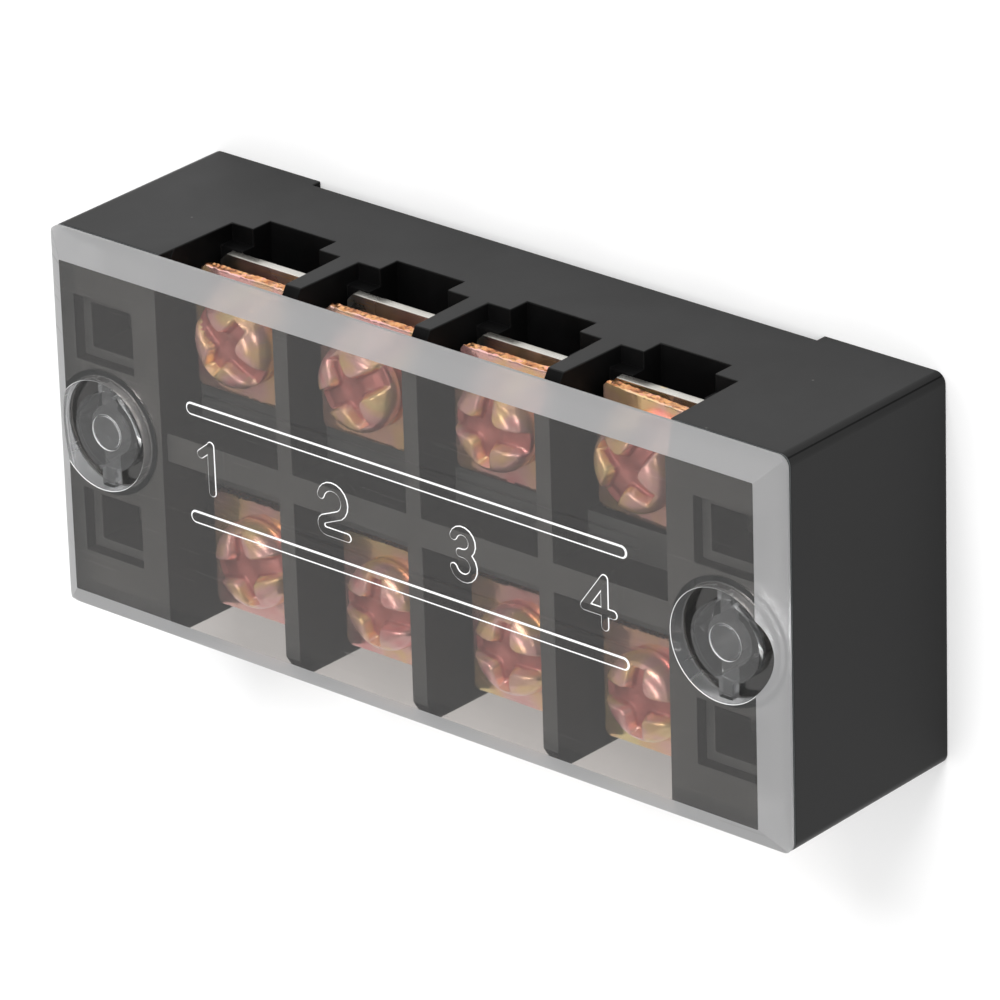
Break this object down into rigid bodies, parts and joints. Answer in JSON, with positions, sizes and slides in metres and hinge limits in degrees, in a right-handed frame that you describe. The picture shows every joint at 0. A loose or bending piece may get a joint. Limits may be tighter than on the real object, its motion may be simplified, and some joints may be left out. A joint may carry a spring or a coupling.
{
  "type": "barrier terminal strip",
  "caption": "Screw terminal strip: a black base with wells between barriers, flat contact strips, backed screws with square clamp plates, and a clear bevelled cover that lifts off.",
  "frame": {"origin": "centre of the mounting face, midway between the two mounting holes", "axes": "+Z from the mounting face out through the cover, +X along the row of poles, +Y towards row a's wire mouths"},
  "size_m": [0.07, 0.031, 0.0195],
  "materials": {
    "black_moulding": "black thermoset or glass-filled plastic with a satin moulded skin",
    "clear_cover": "clear polycarbonate, polished, with fine scratches and specks",
    "plated_strip": "nickel-plated brass",
    "chromated_steel": "zinc-plated steel with a pink and gold chromate"
  },
  "bodies": {
    "base": {"base": "black_moulding", "busbar_1": "plated_strip", "busbar_2": "plated_strip", "busbar_3": "plated_strip", "busbar_4": "plated_strip"},
    "cover": {"cover": "clear_cover"},
    "clamp_1a": {"clamp_1a": "chromated_steel"},
    "screw_1a": {"screw_1a": "chromated_steel"},
    "clamp_1b": {"clamp_1b": "chromated_steel"},
    "screw_1b": {"screw_1b": "chromated_steel"},
    "clamp_2a": {"clamp_2a": "chromated_steel"},
    "screw_2a": {"screw_2a": "chromated_steel"},
    "clamp_2b": {"clamp_2b": "chromated_steel"},
    "screw_2b": {"screw_2b": "chromated_steel"},
    "clamp_3a": {"clamp_3a": "chromated_steel"},
    "screw_3a": {"screw_3a": "chromated_steel"},
    "clamp_3b": {"clamp_3b": "chromated_steel"},
    "screw_3b": {"screw_3b": "chromated_steel"},
    "clamp_4a": {"clamp_4a": "chromated_steel"},
    "screw_4a": {"screw_4a": "chromated_steel"},
    "clamp_4b": {"clamp_4b": "chromated_steel"},
    "screw_4b": {"screw_4b": "chromated_steel"}
  },
  "joints": [
    {"name": "cover_lift", "type": "slide", "parent": "base", "child": "cover", "axis": [0, 0, 1], "range_m": [0, 0.012]},
    {"name": "travel_1a", "type": "slide", "parent": "base", "child": "clamp_1a", "axis": [0, 0, 1], "range_m": [-0.00145, 0.00065]},
    {"name": "turn_1a", "type": "hinge", "parent": "clamp_1a", "child": "screw_1a", "pos_m": [-0.01875, 0.0092, 0.0129], "axis": [0, 0, 1], "range_deg": [-745.8, 334.3]},
    {"name": "travel_1b", "type": "slide", "parent": "base", "child": "clamp_1b", "axis": [0, 0, 1], "range_m": [-0.0005, 0.00175]},
    {"name": "turn_1b", "type": "hinge", "parent": "clamp_1b", "child": "screw_1b", "pos_m": [-0.01875, -0.0092, 0.0129], "axis": [0, 0, 1], "range_deg": [-257.2, 900.1]},
    {"name": "travel_2a", "type": "slide", "parent": "base", "child": "clamp_2a", "axis": [0, 0, 1], "range_m": [-0.00165, 0.00025]},
    {"name": "turn_2a", "type": "hinge", "parent": "clamp_2a", "child": "screw_2a", "pos_m": [-0.00625, 0.0092, 0.0129], "axis": [0, 0, 1], "range_deg": [-848.6, 128.6]},
    {"name": "travel_2b", "type": "slide", "parent": "base", "child": "clamp_2b", "axis": [0, 0, 1], "range_m": [0, 0.00225]},
    {"name": "turn_2b", "type": "hinge", "parent": "clamp_2b", "child": "screw_2b", "pos_m": [-0.00625, -0.0092, 0.0129], "axis": [0, 0, 1], "range_deg": [0, 1157.2]},
    {"name": "travel_3a", "type": "slide", "parent": "base", "child": "clamp_3a", "axis": [0, 0, 1], "range_m": [-0.00115, 0.00095]},
    {"name": "turn_3a", "type": "hinge", "parent": "clamp_3a", "child": "screw_3a", "pos_m": [0.00625, 0.0092, 0.0129], "axis": [0, 0, 1], "range_deg": [-591.5, 488.6]},
    {"name": "travel_3b", "type": "slide", "parent": "base", "child": "clamp_3b", "axis": [0, 0, 1], "range_m": [0, 0.00225]},
    {"name": "turn_3b", "type": "hinge", "parent": "clamp_3b", "child": "screw_3b", "pos_m": [0.00625, -0.0092, 0.0129], "axis": [0, 0, 1], "range_deg": [0, 1157.2]},
    {"name": "travel_4a", "type": "slide", "parent": "base", "child": "clamp_4a", "axis": [0, 0, 1], "range_m": [0, 0.00156]},
    {"name": "turn_4a", "type": "hinge", "parent": "clamp_4a", "child": "screw_4a", "pos_m": [0.01875, 0.0092, 0.0129], "axis": [0, 0, 1], "range_deg": [0, 803.9]},
    {"name": "travel_4b", "type": "slide", "parent": "base", "child": "clamp_4b", "axis": [0, 0, 1], "range_m": [0, 0.00225]},
    {"name": "turn_4b", "type": "hinge", "parent": "clamp_4b", "child": "screw_4b", "pos_m": [0.01875, -0.0092, 0.0129], "axis": [0, 0, 1], "range_deg": [0, 1157.2]}
  ],
  "couplings": [
    {"joint": "turn_1a", "follows": "travel_1a", "rad_per_m": 8976},
    {"joint": "turn_1b", "follows": "travel_1b", "rad_per_m": 8976},
    {"joint": "turn_2a", "follows": "travel_2a", "rad_per_m": 8976},
    {"joint": "turn_2b", "follows": "travel_2b", "rad_per_m": 8976},
    {"joint": "turn_3a", "follows": "travel_3a", "rad_per_m": 8976},
    {"joint": "turn_3b", "follows": "travel_3b", "rad_per_m": 8976},
    {"joint": "turn_4a", "follows": "travel_4a", "rad_per_m": 8976},
    {"joint": "turn_4b", "follows": "travel_4b", "rad_per_m": 8976}
  ]
}
